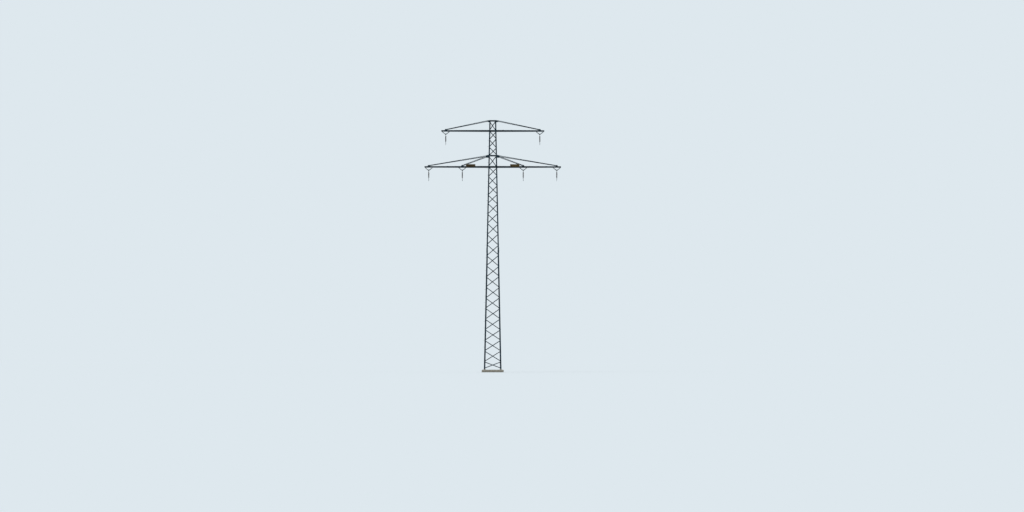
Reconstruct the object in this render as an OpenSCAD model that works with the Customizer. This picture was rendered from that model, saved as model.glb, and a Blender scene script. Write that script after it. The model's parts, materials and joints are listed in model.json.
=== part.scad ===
// Lattice transmission pylon: a slim square mast of steel angles with two
// crossarms, sloping ties, V hangers and six long-rod insulator strings.
// Millimetres. +Z up, the line runs along Y and the crossarms along X.
// The origin is the centre of the underside of the foundation block.

/* [Mast] */
// Height of the mast above the underside of the foundation block
mast_h = 30000; // [28500:50:33000]
// Width of the mast over its legs, taken down to the ground
base_w = 2100; // [1900:10:2400]
// Width of the mast over its legs at the top
top_w = 820; // [780:10:900]
// Flange width of the lower leg angles
leg_low_w = 170; // [160:1:180]
// Thickness of the lower leg angles
leg_low_t = 15; // [13:0.5:17]
// Flange width of the upper leg angles
leg_top_w = 150; // [140:1:160]
// Thickness of the upper leg angles
leg_top_t = 13; // [11:0.5:15]
// Height at which the leg angles are spliced
splice_z = 14500; // [14350:10:14600]
// Length of a splice plate
splice_len = 560; // [400:10:640]
// Thickness of a splice plate
splice_t = 10; // [8:0.5:14]

/* [Bracing] */
// Flange width of the diagonals and horizontals
brace_w = 90; // [80:1:95]
// Thickness of the diagonals and horizontals
brace_t = 8; // [6:0.5:10]
// Number of panels between the upper crossarm and the tie level
head_panels = 3; // [3:1:4]
// Height of a short panel under the lower crossarm
short_panel_h = 1100; // [1000:10:1200]
// Number of short panels
short_panels = 4; // [2:2:6]
// Height of a middle panel
mid_panel_h = 1190; // [1100:10:1250]
// Number of middle panels
mid_panels = 2; // [2:2:4]
// Number of tall panels in the rest of the shaft
tall_panels = 14; // [12:2:16]

/* [Foundation] */
// Side of the concrete block
block_w = 2600; // [2500:10:3000]
// Height of the concrete block above the ground
block_h = 300; // [200:10:350]
// Width of the sloped edge of the block
block_edge = 60; // [20:5:80]

/* [Crossarms] */
// Drop from the top of the mast to the middle of the upper crossarm
upper_drop = 1260; // [1150:10:1400]
// Height between the two crossarms
arm_gap = 4310; // [4200:10:4500]
// Reach of the upper crossarm from the mast's axis
upper_reach = 6140; // [6110:5:6400]
// Reach of the lower crossarm from the mast's axis
lower_reach = 8130; // [8100:5:8400]
// Width of a crossarm at its tip, between its channels
tip_w = 430; // [380:5:500]
// Depth of a crossarm channel
chan_h = 120; // [100:1:130]
// Flange width of a crossarm channel
chan_b = 55; // [50:1:60]
// Web thickness of a crossarm channel
chan_web = 7; // [6:0.5:9]
// Flange thickness of a crossarm channel
chan_flange = 9; // [8:0.5:11]
// Spacing of the lacing joints along a crossarm, before they are evened out
lace_pitch = 500; // [450:10:550]
// Thickness of the plate across the tip of a crossarm
tip_t = 8; // [6:1:12]
// Flange width of the lacing angles
lace_w = 45; // [40:1:50]
// Thickness of the lacing angles
lace_t = 5; // [4:0.5:6]

/* [Ties] */
// Flange width of the tie angles
tie_w = 65; // [55:1:70]
// Thickness of the tie angles
tie_t = 6; // [5:0.5:8]
// Thickness of the gusset plates
gusset_t = 8; // [6:0.5:10]
// Length of a gusset plate on a crossarm
gusset_l = 280; // [240:10:290]
// Height of a tie's lower bolt above the middle of the channel
tie_rise = 150; // [130:5:165]
// Height from the lower crossarm to the root of its ties
tie_root = 1350; // [1300:10:1450]

/* [Hangers] */
// Distance of the upper hanging points from the tip of the crossarm
inset_upper = 530; // [510:5:600]
// Distance of the outer lower hanging points from the tip of the crossarm
inset_lower = 500; // [490:5:600]
// Distance between the inner and outer lower hanging points
phase_gap = 4000; // [3700:50:4200]
// Half the spread of a hanger at the crossarm
hang_spread = 430; // [400:5:440]
// Drop from the middle of the channel to the pin of the string
hang_drop = 450; // [420:5:500]
// Flange width of the hanger angles
hang_w = 70; // [60:1:75]
// Thickness of the hanger angles
hang_t = 7; // [5:0.5:8]
// Thickness of the plate at the point of a hanger
eye_plate_t = 12; // [10:0.5:14]
// Width of that plate
eye_plate_w = 250; // [220:5:280]
// Height of that plate above its eye
eye_plate_h = 125; // [110:5:140]

/* [Insulator strings] */
// Diameter of the pin that a string swings on
pin_d = 22; // [18:0.5:24]
// Length of the porcelain between its caps
rod_len = 650; // [600:5:700]
// Diameter of the porcelain core
rod_d = 84; // [75:1:88]
// Diameter of the porcelain sheds
shed_d = 174; // [150:1:180]
// Number of sheds
sheds = 11; // [9:1:12]
// Diameter of the end caps
cap_d = 100; // [90:1:110]
// Height of an end cap
cap_h = 68; // [60:1:80]
// Length of the link between the lower cap and the clamp
link_len = 260; // [220:5:300]
// Width of the link
link_w = 50; // [40:1:60]
// Bore of the suspension clamp
clamp_bore_d = 22; // [20:0.5:26]
// Length of the suspension clamp along the line
clamp_len = 190; // [160:5:220]

/* [Marker boards] */
// Length of a marker board
board_l = 1120; // [900:10:1160]
// Height of a marker board
board_h = 300; // [250:10:380]
// Distance of the middle of a board from the mast's axis
board_x = 2630; // [2500:10:2650]
// Depth of the folded rim of a board
board_rim = 25; // [15:1:30]
// Sheet thickness of a board
board_t = 3; // [2:0.5:4]
// How far a board reaches below the top of the crossarm
board_drop = 80; // [40:5:100]
// Distance of a foot from the middle of its board
board_foot_x = 358; // [340:2:400]
// Width of a foot
board_foot_w = 40; // [30:1:50]

/* [Hidden] */
// Clearance between bolted pieces
seat = 0.2;
// Clearance between a marker board and the crossarm behind it
board_stand = 3;
// Thickness of the bars that hold a marker board
board_foot_t = 5;
// Slack of the pin in the hanger's eye
pin_slack = 1;
// Running clearance between a clevis and the plate it straddles
fork_gap = 2;
// Lean of each face of the mast
lean = atan((base_w - top_w) / 2 / mast_h);
// Bolt line of a bar, measured from the corner of the leg
gauge = 85;
// Length of a bar past its end bolt
bolt_edge = 25;
// Setback of a bar's standing flange past its end bolt
cope = 108;
// Half spacing of two bars that meet at one joint
pair = sqrt(pow(bolt_edge, 2) + pow(brace_w / 2, 2)) + 1;
// The same where a horizontal lies between them
pair_wide = pair + brace_w / 2 + 1;
// Half spacing of two lacing angles that meet on a channel
lace_pair = lace_w / 2 + 6;
// Length of a lacing angle past its end bolt
lace_edge = 10;
// Setback of a lacing angle's standing flange from its end bolt
lace_cope = lace_w + chan_b / 2 + 25;
// Gap between a tie and its gusset, taken up by their different slopes
tie_gap = 1.3;
// Length of a tie past its end bolts
tie_edge = 30;
// Setbacks of a tie's standing flange at the mast and at the crossarm
tie_cope_root = 85;
tie_cope_foot = 160;
// Roots of the ties, outwards from the leg and up from their level
upper_root = [200, 0];
inner_root = [230, -125];
outer_root = [270, -55];
// Plates at the roots: corners outwards from the leg and up from that level
upper_root_plate = [[-6, -110], [170, -70], [255, -52], [255, 24], [-6, 48]];
lower_root_plate = [[-6, -200], [270, -195], [325, -105], [325, -18], [-6, 60]];
// Drop of the upper ties' level below the top horizontals
upper_root_drop = 15;
// Half length of a gusset plate along its top edge
gusset_top = 80;
// Where a hanger's sloping angle ends, measured from the pin
hang_foot = [40, 45];
// Radius of the plate round the pin's eye
eye_r = pin_d + 13;
// Clearance and thickness of the clevis cheeks, and half their width
fork_in = eye_plate_t / 2 + fork_gap;
fork_t = 10;
fork_out = fork_in + fork_t;
fork_r = 24;
// Depth of the clevis below the pin and thickness of its bridge
fork_h = 82;
bridge_t = 18;
// Diameter and length of the round shanks on the caps
shank_d = 34;
shank_l = 30;
// Levels of the pieces of a string below its pin
cap_top = fork_h + bridge_t;
cap_low = cap_top + cap_h + rod_len;
link_top = cap_low + cap_h;
clamp_z = link_top + link_len + 55;
// Thickness of the link's straps and of the tongue between them
strap_t = 8;
tongue_t = 2 * strap_t;
// Wall of the clamp round the line, and the strap it hangs in
clamp_wall = 10;
hanger_strap_t = 8;
hanger_strap_w = 40;
// Radius of the curved underside of the clamp
boat_r = 750;
// Plain ends of the porcelain, let into the caps
rod_end = 20;
// How far a leg is drawn past its cut ends
leg_spare = 200;
// Levels of the crossarms and of the root of the lower ties
upper_z = mast_h - upper_drop;
lower_z = upper_z - arm_gap;
tie_z = lower_z + tie_root;
// Distances of the hanging points from the mast's axis
hang_upper = upper_reach - inset_upper;
hang_outer = lower_reach - inset_lower;
hang_inner = hang_outer - phase_gap;
// Levels where the short and the middle panels end
short_z = lower_z - short_panels * short_panel_h;
mid_z = short_z - mid_panels * mid_panel_h;
// Top horizontals, just under the ends of the legs
top_z = mast_h - brace_w / 2 - 5;
// Last joint of the bracing, just above the foundation
foot_z = block_h + pair + brace_w;

// Levels of the joints of the bracing, from the top down
levels = concat(
    [top_z],
    [for (i = [0 : head_panels]) upper_z - i * (upper_z - tie_z) / head_panels],
    [for (i = [0 : short_panels]) lower_z - i * short_panel_h],
    [for (i = [1 : mid_panels]) short_z - i * mid_panel_h],
    [for (i = [1 : tall_panels - 1]) mid_z * (1 - i / tall_panels)],
    [foot_z]);
panels = len(levels) - 1;
frame_levels = [top_z, upper_z, tie_z, lower_z];
split = len([for (z = levels) if (z > splice_z) z]) - 1;

// Half width of the mast over its legs at height z
function half(z) = base_w / 2 - z * tan(lean);
// The same height measured up the leaning face
function up(z) = z / cos(lean);
function leg_t(z) = z > splice_z ? leg_top_t : leg_low_t;
function in_frame(z) = len([for (f = frame_levels) if (abs(f - z) < 1) f]) > 0;
function joint_gap(z) = in_frame(z) ? pair_wide : pair;

// Half width of a crossarm at distance x, to the inner faces of its webs
function bend_x(z) = half(z) + 60;
function root_y(z) = half(z - chan_h / 2) + seat;
function arm_y(x, z, reach) = x < bend_x(z) ? root_y(z)
    : root_y(z) - (x - bend_x(z)) * (root_y(z) - tip_w / 2) / (reach - bend_x(z));
function arm_turn(z, reach) = atan((root_y(z) - tip_w / 2) / (reach - bend_x(z)));

steel = [0.25, 0.35, 0.38];
darker = [0.20, 0.28, 0.31];
concrete = [0.62, 0.61, 0.58];
glaze = [0.32, 0.16, 0.09];
board = [0.30, 0.25, 0.15];

// Side k of the mast: 0 front, 1 right, 2 back, 3 left. In it X runs to the
// right seen from outside, Z up the leaning face and Y into the mast.
module side(k) {
    rotate([0, 0, 90 * k]) translate([0, -base_w / 2, 0]) rotate([-lean, 0, 0]) children();
}

// Rolled angle: one flange along +X, the other along +Y, with a root fillet
module angle_2d(w, t) {
    square([w, t]);
    square([t, w]);
    difference() {
        square([2 * t, 2 * t]);
        translate([2 * t, 2 * t]) circle(r = t, $fn = 32);
    }
}

// Bar of angle section lying in the XZ plane from point a to point b. Its flat
// flange reaches Y from 0 to t, its standing flange rises along +Y and is cut
// back at both ends.
module flat_bar(a, b, w, t, back = 0, over = bolt_edge) {
    d = b - a;
    l = norm(d);
    translate([a[0], 0, a[1]]) rotate([0, -atan2(d[1], d[0]), 0]) {
        translate([-over, 0, -w / 2]) cube([l + 2 * over, t, w]);
        translate([back, 0, -w / 2]) cube([l - 2 * back, w, t]);
    }
}

// One leg angle between two heights, its outer faces in the faces of the mast
module leg(k, z0, z1, w, t) {
    tilt = atan(sqrt(2) * tan(lean));
    color(steel) intersection() {
        rotate([0, 0, 90 * k]) translate([-base_w / 2, -base_w / 2, 0])
            rotate([0, 0, 45]) rotate([0, tilt, 0]) rotate([0, 0, -45])
                translate([0, 0, z0 - leg_spare])
                    linear_extrude(height = z1 - z0 + 2 * leg_spare) angle_2d(w, t);
        translate([-base_w, -base_w, z0]) cube([2 * base_w, 2 * base_w, z1 - z0]);
    }
}

// Diagonals of one side between two panels, a single zigzag
module bracing(k, first, last) {
    color(steel) side(k) for (i = [first : last]) {
        rise = i % 2 == 0 ? 1 : -1;
        za = levels[i + 1] + joint_gap(levels[i + 1]);
        zb = levels[i] - joint_gap(levels[i]);
        t = max(leg_t(za), leg_t(zb));
        translate([0, t + seat, 0])
            flat_bar([-rise * (half(za) - gauge), up(za)], [rise * (half(zb) - gauge), up(zb)],
                brace_w, brace_t, cope);
    }
}

module foundation_block() {
    r = block_edge * sqrt(2);
    color(concrete) difference() {
        translate([-block_w / 2, -block_w / 2, 0]) cube([block_w, block_w, block_h]);
        for (k = [0 : 3]) rotate([0, 0, 90 * k])
            translate([0, -block_w / 2, block_h]) rotate([45, 0, 0])
                cube([2 * block_w, r, r], center = true);
    }
}

// Cover plates on the outer faces of the legs, and plates inside the channels
// where the left and right arms meet
module splice_plates() {
    w = leg_top_w - 14;
    l = 2 * (half(upper_z) - leg_top_w) - 40;
    h = chan_h - 2 * chan_flange - 10;
    color(darker) {
        for (k = [0 : 3]) side(k) for (s = [-1, 1])
            translate([s * (half(splice_z) - leg_top_w / 2 - 4) - w / 2, -splice_t - seat,
                       up(splice_z) - splice_len / 2])
                cube([w, splice_t, splice_len]);
        for (z = [upper_z, lower_z], m = [0, 1]) mirror([0, m, 0])
            translate([-l / 2, -root_y(z) + seat, z - h / 2]) cube([l, gusset_t, h]);
    }
}

// Horizontals round the mast at the top, at the ties and at the crossarms,
// where the channels take their place in front and behind, and one plan
// diagonal at each crossarm
module mast_frames() {
    color(steel) {
        for (z = frame_levels, k = [0 : 3])
            if ((z != upper_z && z != lower_z) || k % 2 == 1)
                side(k) translate([0, leg_t(z) + seat, 0])
                    flat_bar([-half(z) + gauge, up(z)], [half(z) - gauge, up(z)], brace_w, brace_t, cope);
        for (z = [upper_z, lower_z]) {
            x = half(z) - leg_top_t - brace_w / 2;
            y = half(z) - gauge - cope - brace_w / 2;
            translate([0, 0, z - brace_w / 2 + brace_t - 2])
                rotate([0, 0, atan2(y, x)]) translate([-norm([x, y]), -lace_w / 2, 0]) {
                    cube([2 * norm([x, y]), lace_w, lace_t]);
                    translate([60, 0, 0]) cube([2 * norm([x, y]) - 120, lace_t, lace_w]);
                }
        }
    }
}

// Plan outline of a strip that follows one channel of an arm, between the
// offsets a and b outwards from the inner face of its web
module chord_plan(z, reach, a, b) {
    end = reach - tip_t - seat;
    polygon([[2, -root_y(z) - a], [bend_x(z), -root_y(z) - a], [end, -arm_y(end, z, reach) - a],
             [end, -arm_y(end, z, reach) - b], [bend_x(z), -root_y(z) - b], [2, -root_y(z) - b]]);
}

// One channel of an arm, its web against the legs and its flanges outwards
module chord(z, reach) {
    translate([0, 0, z - chan_h / 2]) {
        linear_extrude(height = chan_h) chord_plan(z, reach, 0, chan_web);
        linear_extrude(height = chan_flange) chord_plan(z, reach, 0, chan_b);
        translate([0, 0, chan_h - chan_flange])
            linear_extrude(height = chan_flange) chord_plan(z, reach, 0, chan_b);
    }
}

// Plate inside a channel's web that rises above it to take a tie
module tie_gusset(x, z, reach) {
    low = chan_flange + 5 - chan_h / 2;
    top = tie_rise + 45;
    l = gusset_l / 2;
    translate([x, -arm_y(x, z, reach), z]) rotate([0, 0, arm_turn(z, reach)])
        rotate([90, 0, 0]) translate([0, 0, -gusset_t - seat]) linear_extrude(height = gusset_t)
            polygon([[-l, low], [l, low], [l, chan_h / 2], [gusset_top, top],
                     [-gusset_top, top + 20], [-l, chan_h / 2 + 20]]);
}

// Joints of the lacing, evened out in each bay so that a gusset lies midway
// between two of them
function lace_joints(z, reach, hangs) =
    let (ends = concat([bend_x(z)], hangs, [reach]))
    [for (i = [0 : len(ends) - 2])
        let (n = max(1, round((ends[i + 1] - ends[i]) / lace_pitch)), d = (ends[i + 1] - ends[i]) / n)
        for (k = [0 : n - 1]) ends[i] + (k + 0.5) * d];

// One lacing angle on top of both channels, its standing flange down between them
module lace(xa, xb, s, z, reach) {
    a = [xa, s * (arm_y(xa, z, reach) + chan_b / 2)];
    b = [xb, -s * (arm_y(xb, z, reach) + chan_b / 2)];
    l = norm(b - a);
    translate([a[0], a[1], z + chan_h / 2 + seat]) rotate([0, 0, atan2(b[1] - a[1], b[0] - a[0])]) {
        translate([-lace_edge, -lace_w / 2, 0]) cube([l + 2 * lace_edge, lace_w, lace_t]);
        translate([lace_cope, -lace_w / 2, lace_t - lace_w])
            cube([l - 2 * lace_cope, lace_t, lace_w]);
    }
}

// Right-hand arm: two channels that draw together, a plate across their tip,
// zigzag lacing over them and a gusset for each tie
module arm(z, reach, hangs) {
    joints = lace_joints(z, reach, hangs);
    color(steel) {
        for (m = [0, 1]) mirror([0, m, 0]) {
            chord(z, reach);
            for (x = hangs) tie_gusset(x, z, reach);
        }
        translate([reach - tip_t, -tip_w / 2 - chan_b, z - chan_h / 2])
            cube([tip_t, tip_w + 2 * chan_b, chan_h]);
        for (i = [0 : len(joints) - 2])
            lace(joints[i] + lace_pair, joints[i + 1] - lace_pair, i % 2 == 0 ? 1 : -1, z, reach);
    }
}

module upper_arm() { arm(upper_z, upper_reach, [hang_upper]); }
module lower_arm() { arm(lower_z, lower_reach, [hang_inner, hang_outer]); }

// Tie angle in front of the mast, from its root to a gusset on the crossarm
module tie(level, root, x, z, reach) {
    za = level + root[1];
    a = [half(za) + root[0], -half(za) - gusset_t - seat - tie_gap, za];
    xb = x + 10;
    b = [xb, -arm_y(xb, z, reach) + seat - tie_gap, z + tie_rise];
    d = b - a;
    l = norm(d);
    translate(a) rotate([0, 0, atan2(d[1], d[0])]) rotate([0, -atan2(d[2], norm([d[0], d[1]])), 0]) {
        translate([-tie_edge, -tie_t, -tie_w / 2]) cube([l + 2 * tie_edge, tie_t, tie_w]);
        translate([tie_cope_root, -tie_t, tie_w / 2 - tie_t])
            cube([l - tie_cope_root - tie_cope_foot, tie_w, tie_t]);
    }
}

// Ties on the right, in front and behind, with their plates on the legs
module ties(level, z, reach, roots, hangs, plate) {
    w = leg_top_w - leg_top_t + 2;
    color(steel) for (m = [0, 1]) mirror([0, m, 0]) union() {
        for (i = [0 : len(hangs) - 1]) tie(level, roots[i], hangs[i], z, reach);
        side(0) translate([half(level), -gusset_t - seat, up(level)]) rotate([90, 0, 0]) mirror([0, 0, 1])
            linear_extrude(height = gusset_t)
                polygon(concat([[-w, plate[0][1]]], plate, [[-w, plate[len(plate) - 1][1]]]));
    }
}

// One of the two cross angles of a hanger, under both channels
module cross_angle(s, x, z, reach) {
    xs = x + s * hang_spread;
    y = arm_y(xs, z, reach) + chan_b - 4;
    translate([xs, 0, z - chan_h / 2 - seat]) mirror([s > 0 ? 1 : 0, 0, 0]) rotate([90, 0, 0])
        translate([0, 0, -y]) mirror([0, 1, 0]) linear_extrude(height = 2 * y) angle_2d(hang_w, hang_t);
}

// V hanger: two cross angles, two sloping angles and a plate with the eye
module hanger(x, z, reach) {
    zb = z - chan_h / 2 - seat;
    ze = z - hang_drop;
    w = eye_plate_w / 2;
    color(steel) difference() {
        union() {
            for (s = [-1, 1]) {
                cross_angle(s, x, z, reach);
                mirror([s < 0 ? 1 : 0, 0, 0]) translate([s * x, -hang_t, 0])
                    flat_bar([hang_foot[0], ze + hang_foot[1]],
                             [hang_spread - 3 * hang_t, zb - 0.7 * hang_w], hang_w, hang_t, hang_w);
            }
            translate([x, eye_plate_t / 2, ze]) rotate([90, 0, 0]) linear_extrude(height = eye_plate_t) {
                circle(r = eye_r, $fn = 48);
                polygon([[-eye_r, 0], [eye_r, 0], [w, 0.6 * eye_plate_h], [w, eye_plate_h],
                         [-w, eye_plate_h], [-w, 0.6 * eye_plate_h]]);
            }
        }
        translate([x, 0, ze]) rotate([90, 0, 0])
            cylinder(d = pin_d + pin_slack, h = 2 * hang_w, center = true, $fn = 48);
    }
}

// Porcelain rod: a core with even sheds that slope down outwards
module porcelain() {
    p = (rod_len - 2 * rod_end) / sheds;
    rc = rod_d / 2;
    rs = shed_d / 2;
    shed = [[rc, 0.34], [rs - 4, 0.18], [rs, 0.22], [rs - 1, 0.32], [rc + 6, 0.64], [rc, 0.82]];
    color(glaze) translate([0, 0, -rod_len]) rotate_extrude($fn = 64)
        polygon(concat([[0, 0], [rc, 0]],
            [for (i = [0 : sheds - 1], q = shed) [q[0], rod_end + (i + q[1]) * p]],
            [[rc, rod_len], [0, rod_len]]));
}

// Cap that holds an end of the porcelain, its face at the origin
module end_cap() {
    r = cap_d / 2;
    rotate_extrude($fn = 48)
        polygon([[0, 0], [r, 0], [r, 0.55 * cap_h], [r - 8, 0.7 * cap_h],
                 [shank_d / 2 + 7, cap_h], [0, cap_h]]);
}

// Clevis with its pin and the upper cap. The pin is at the origin.
module upper_fitting() {
    rotate([90, 0, 0]) cylinder(d = pin_d, h = 2 * fork_out + 16, center = true, $fn = 48);
    for (s = [-1, 1]) {
        translate([0, s * (fork_out + 8), 0]) rotate([90, 0, 0])
            cylinder(d = 1.7 * pin_d, h = 12, center = true, $fn = 6);
        translate([0, s > 0 ? fork_in : -fork_out, 0]) {
            translate([-fork_r, 0, bridge_t - fork_h]) cube([2 * fork_r, fork_t, fork_h - bridge_t]);
            rotate([-90, 0, 0]) cylinder(r = fork_r, h = fork_t, $fn = 48);
        }
    }
    translate([-fork_r, -fork_out, -fork_h]) cube([2 * fork_r, 2 * fork_out, bridge_t]);
    translate([0, 0, -cap_top - 5]) cylinder(d = shank_d, h = shank_l, $fn = 32);
    translate([0, 0, -cap_top - cap_h]) end_cap();
}

// Lower cap, a link of two straps and the suspension clamp
module lower_fitting() {
    end = -link_top - link_len;
    translate([0, 0, -cap_low]) mirror([0, 0, 1]) end_cap();
    translate([0, 0, -link_top - shank_l + 8]) cylinder(d = shank_d, h = shank_l, $fn = 32);
    translate([-link_w / 2, -tongue_t / 2, -link_top - 50]) cube([link_w, tongue_t, 36]);
    for (s = [0, 1]) mirror([0, s, 0]) translate([-link_w / 2, tongue_t / 2, end])
        cube([link_w, strap_t, link_len - 18]);
    translate([-link_w / 2, -tongue_t / 2 - strap_t, end]) cube([link_w, tongue_t + 2 * strap_t, 22]);
    suspension_clamp();
}

// Suspension clamp: a boat with a curved underside and a keeper, hung in a strap
// and bored for the line
module suspension_clamp() {
    r = clamp_bore_d / 2;
    o = r + clamp_wall;
    translate([0, 0, -clamp_z]) difference() {
        union() {
            intersection() {
                rotate([90, 0, 0]) translate([0, 0, -clamp_len / 2]) linear_extrude(height = clamp_len)
                    polygon([[-o, -6], [-o + 4, 5 - o], [-r, -o], [r, -o], [o - 4, 5 - o], [o, -6],
                             [o, r + 4], [o - 4, r + 8], [4 - o, r + 8], [-o, r + 4]]);
                translate([0, 0, boat_r - o]) rotate([0, 90, 0])
                    cylinder(r = boat_r, h = 4 * o, center = true, $fn = 180);
            }
            for (s = [0, 1]) mirror([s, 0, 0]) translate([o - 1, -hanger_strap_w / 2, -12])
                cube([hanger_strap_t, hanger_strap_w, 72]);
            translate([-o - hanger_strap_t + 1, -hanger_strap_w / 2, 38])
                cube([2 * (o + hanger_strap_t - 1), hanger_strap_w, 22]);
        }
        rotate([90, 0, 0]) cylinder(d = clamp_bore_d, h = 2 * clamp_len, center = true, $fn = 48);
    }
}

module upper_ties() {
    ties(top_z - upper_root_drop, upper_z, upper_reach, [upper_root], [hang_upper], upper_root_plate);
}
module lower_ties() {
    ties(tie_z, lower_z, lower_reach, [inner_root, outer_root], [hang_inner, hang_outer],
         lower_root_plate);
}
module hangers(x, z, reach) {
    for (s = [0, 1]) mirror([s, 0, 0]) hanger(x, z, reach);
}
module lower_leg(k) { leg(k, block_h, splice_z, leg_low_w, leg_low_t); }
module upper_leg(k) { leg(k, splice_z, mast_h, leg_top_w, leg_top_t); }
module lower_bracing(k) { bracing(k, split + 1, panels - 1); }
module upper_bracing(k) { bracing(k, 0, split); }

module at_string(x, z) { translate([x, 0, z - hang_drop]) children(); }
module fittings() { color(darker) { upper_fitting(); lower_fitting(); } }
module insulator() { translate([0, 0, -cap_top - cap_h]) porcelain(); }

// Marker board: a tray of folded sheet in front of the lower crossarm, held by two
// bent bars that are bolted to the top of the front channel and run up behind it
module marker_board() {
    back = board_rim + board_stand;
    y = arm_y(board_x, lower_z, lower_reach) + chan_b + back;
    sheet = 2 * board_t;
    color(board) translate([board_x, -y, lower_z + chan_h / 2 + seat])
        rotate([0, 0, arm_turn(lower_z, lower_reach)]) {
            difference() {
                translate([-board_l / 2, 0, -board_drop]) cube([board_l, board_rim, board_h]);
                translate([-board_l / 2 + board_t, board_t, board_t - board_drop])
                    cube([board_l - sheet, board_rim, board_h - sheet]);
            }
            for (s = [-1, 1]) translate([s * board_foot_x - board_foot_w / 2, board_t - 0.5, 0]) {
                cube([board_foot_w, board_foot_t, board_h / 2]);
                cube([board_foot_w, back + 0.7 * chan_b - board_t, board_foot_t]);
            }
        }
}

foundation_block();
lower_leg(0);  // leg_lower_front_left
lower_leg(1);  // leg_lower_front_right
lower_leg(2);  // leg_lower_back_right
lower_leg(3);  // leg_lower_back_left
upper_leg(0);  // leg_upper_front_left
upper_leg(1);  // leg_upper_front_right
upper_leg(2);  // leg_upper_back_right
upper_leg(3);  // leg_upper_back_left
lower_bracing(0);  // bracing_lower_front
lower_bracing(1);  // bracing_lower_right
lower_bracing(2);  // bracing_lower_back
lower_bracing(3);  // bracing_lower_left
upper_bracing(0);  // bracing_upper_front
upper_bracing(1);  // bracing_upper_right
upper_bracing(2);  // bracing_upper_back
upper_bracing(3);  // bracing_upper_left
splice_plates();
mast_frames();
mirror([1, 0, 0]) upper_arm();  // upper_arm_left
upper_arm();  // upper_arm_right
mirror([1, 0, 0]) lower_arm();  // lower_arm_left
lower_arm();  // lower_arm_right
mirror([1, 0, 0]) upper_ties();  // upper_ties_left
upper_ties();  // upper_ties_right
mirror([1, 0, 0]) lower_ties();  // lower_ties_left
lower_ties();  // lower_ties_right
hangers(hang_upper, upper_z, upper_reach);  // upper_hangers
hangers(hang_inner, lower_z, lower_reach);  // lower_inner_hangers
hangers(hang_outer, lower_z, lower_reach);  // lower_outer_hangers
at_string(-hang_upper, upper_z) fittings();  // string_upper_left_fittings
at_string(-hang_upper, upper_z) insulator();  // string_upper_left_insulator
at_string(hang_upper, upper_z) fittings();  // string_upper_right_fittings
at_string(hang_upper, upper_z) insulator();  // string_upper_right_insulator
at_string(-hang_inner, lower_z) fittings();  // string_inner_left_fittings
at_string(-hang_inner, lower_z) insulator();  // string_inner_left_insulator
at_string(hang_inner, lower_z) fittings();  // string_inner_right_fittings
at_string(hang_inner, lower_z) insulator();  // string_inner_right_insulator
at_string(-hang_outer, lower_z) fittings();  // string_outer_left_fittings
at_string(-hang_outer, lower_z) insulator();  // string_outer_left_insulator
at_string(hang_outer, lower_z) fittings();  // string_outer_right_fittings
at_string(hang_outer, lower_z) insulator();  // string_outer_right_insulator
mirror([1, 0, 0]) marker_board();  // marker_board_left
marker_board();  // marker_board_right
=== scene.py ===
import json
from math import atan, cos, pi, radians, sin, sqrt, tan

import bpy
import numpy as np
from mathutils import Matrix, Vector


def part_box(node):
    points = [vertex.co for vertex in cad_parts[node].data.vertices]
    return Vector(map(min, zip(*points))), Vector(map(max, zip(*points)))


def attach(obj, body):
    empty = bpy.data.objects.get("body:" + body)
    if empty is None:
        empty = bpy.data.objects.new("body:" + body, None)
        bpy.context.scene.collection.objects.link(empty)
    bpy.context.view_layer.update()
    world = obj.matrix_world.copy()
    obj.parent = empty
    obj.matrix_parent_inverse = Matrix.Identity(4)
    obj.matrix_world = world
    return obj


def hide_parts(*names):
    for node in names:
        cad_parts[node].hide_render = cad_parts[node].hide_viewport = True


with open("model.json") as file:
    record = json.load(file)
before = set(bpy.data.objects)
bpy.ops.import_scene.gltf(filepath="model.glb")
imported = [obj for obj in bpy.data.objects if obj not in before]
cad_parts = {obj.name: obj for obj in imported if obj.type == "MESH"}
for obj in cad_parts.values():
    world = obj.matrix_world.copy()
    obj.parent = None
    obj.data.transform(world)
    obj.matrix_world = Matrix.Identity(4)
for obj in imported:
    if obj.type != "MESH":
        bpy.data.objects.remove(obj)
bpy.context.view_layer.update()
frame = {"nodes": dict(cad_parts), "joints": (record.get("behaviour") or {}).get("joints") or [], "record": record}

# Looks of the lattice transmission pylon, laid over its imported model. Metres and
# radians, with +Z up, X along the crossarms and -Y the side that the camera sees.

scene = bpy.context.scene

# The camera, where the photograph was taken from
eye_distance = 240.0
eye_height = 1.2
lens_mm = 71.04
pitch_up = radians(3.0056)
turn_right = radians(0.547)

# Steel sections as the part's source has them, w their width and t their thickness
leg_low_w, leg_low_t, leg_top_w, leg_top_t = 0.170, 0.015, 0.150, 0.013
brace_w, brace_t = 0.090, 0.008
chan_h, chan_b, chan_web, chan_flange = 0.120, 0.055, 0.007, 0.009
lace_w, lace_t = 0.045, 0.005
tie_t, gusset_t = 0.006, 0.008
hang_w, hang_t, eye_plate_t = 0.070, 0.007, 0.012
splice_t, splice_len = 0.010, 0.560

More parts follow.
